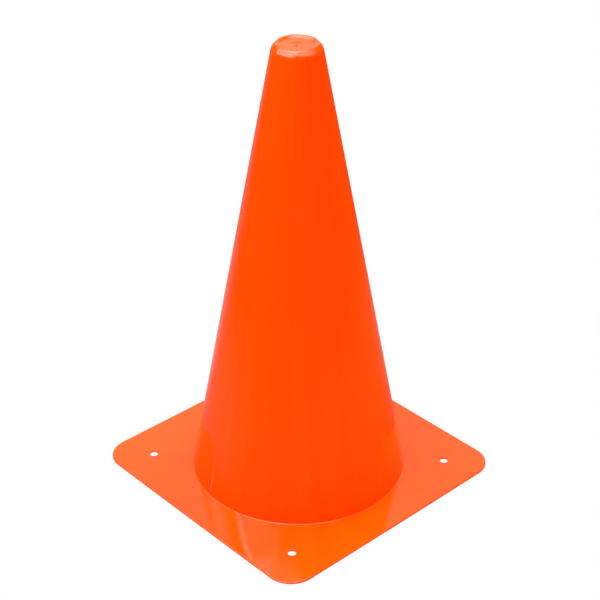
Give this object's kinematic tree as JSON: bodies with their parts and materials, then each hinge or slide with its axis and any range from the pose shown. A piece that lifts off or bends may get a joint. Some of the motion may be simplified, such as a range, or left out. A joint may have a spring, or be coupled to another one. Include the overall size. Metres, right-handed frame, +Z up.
{
  "type": "marker cone",
  "caption": "Hollow tapered marker cone, open underneath, with a closed recessed crown and a thin square base sheet with rounded corners and corner holes.",
  "frame": {"origin": "middle of the underside of the square base, on the surface that the cone stands on", "axes": "+Z up along the cone's axis to the crown, +X and +Y along two sides of the square base"},
  "size_m": [0.191, 0.191, 0.3045],
  "materials": {
    "cone_plastic": "glossy moulded polyethylene, bright orange throughout, faint flow and handling marks"
  },
  "bodies": {
    "root": {"base_flange": "cone_plastic", "lower_wall": "cone_plastic", "middle_wall": "cone_plastic", "upper_wall": "cone_plastic", "crown": "cone_plastic"}
  },
  "joints": []
}
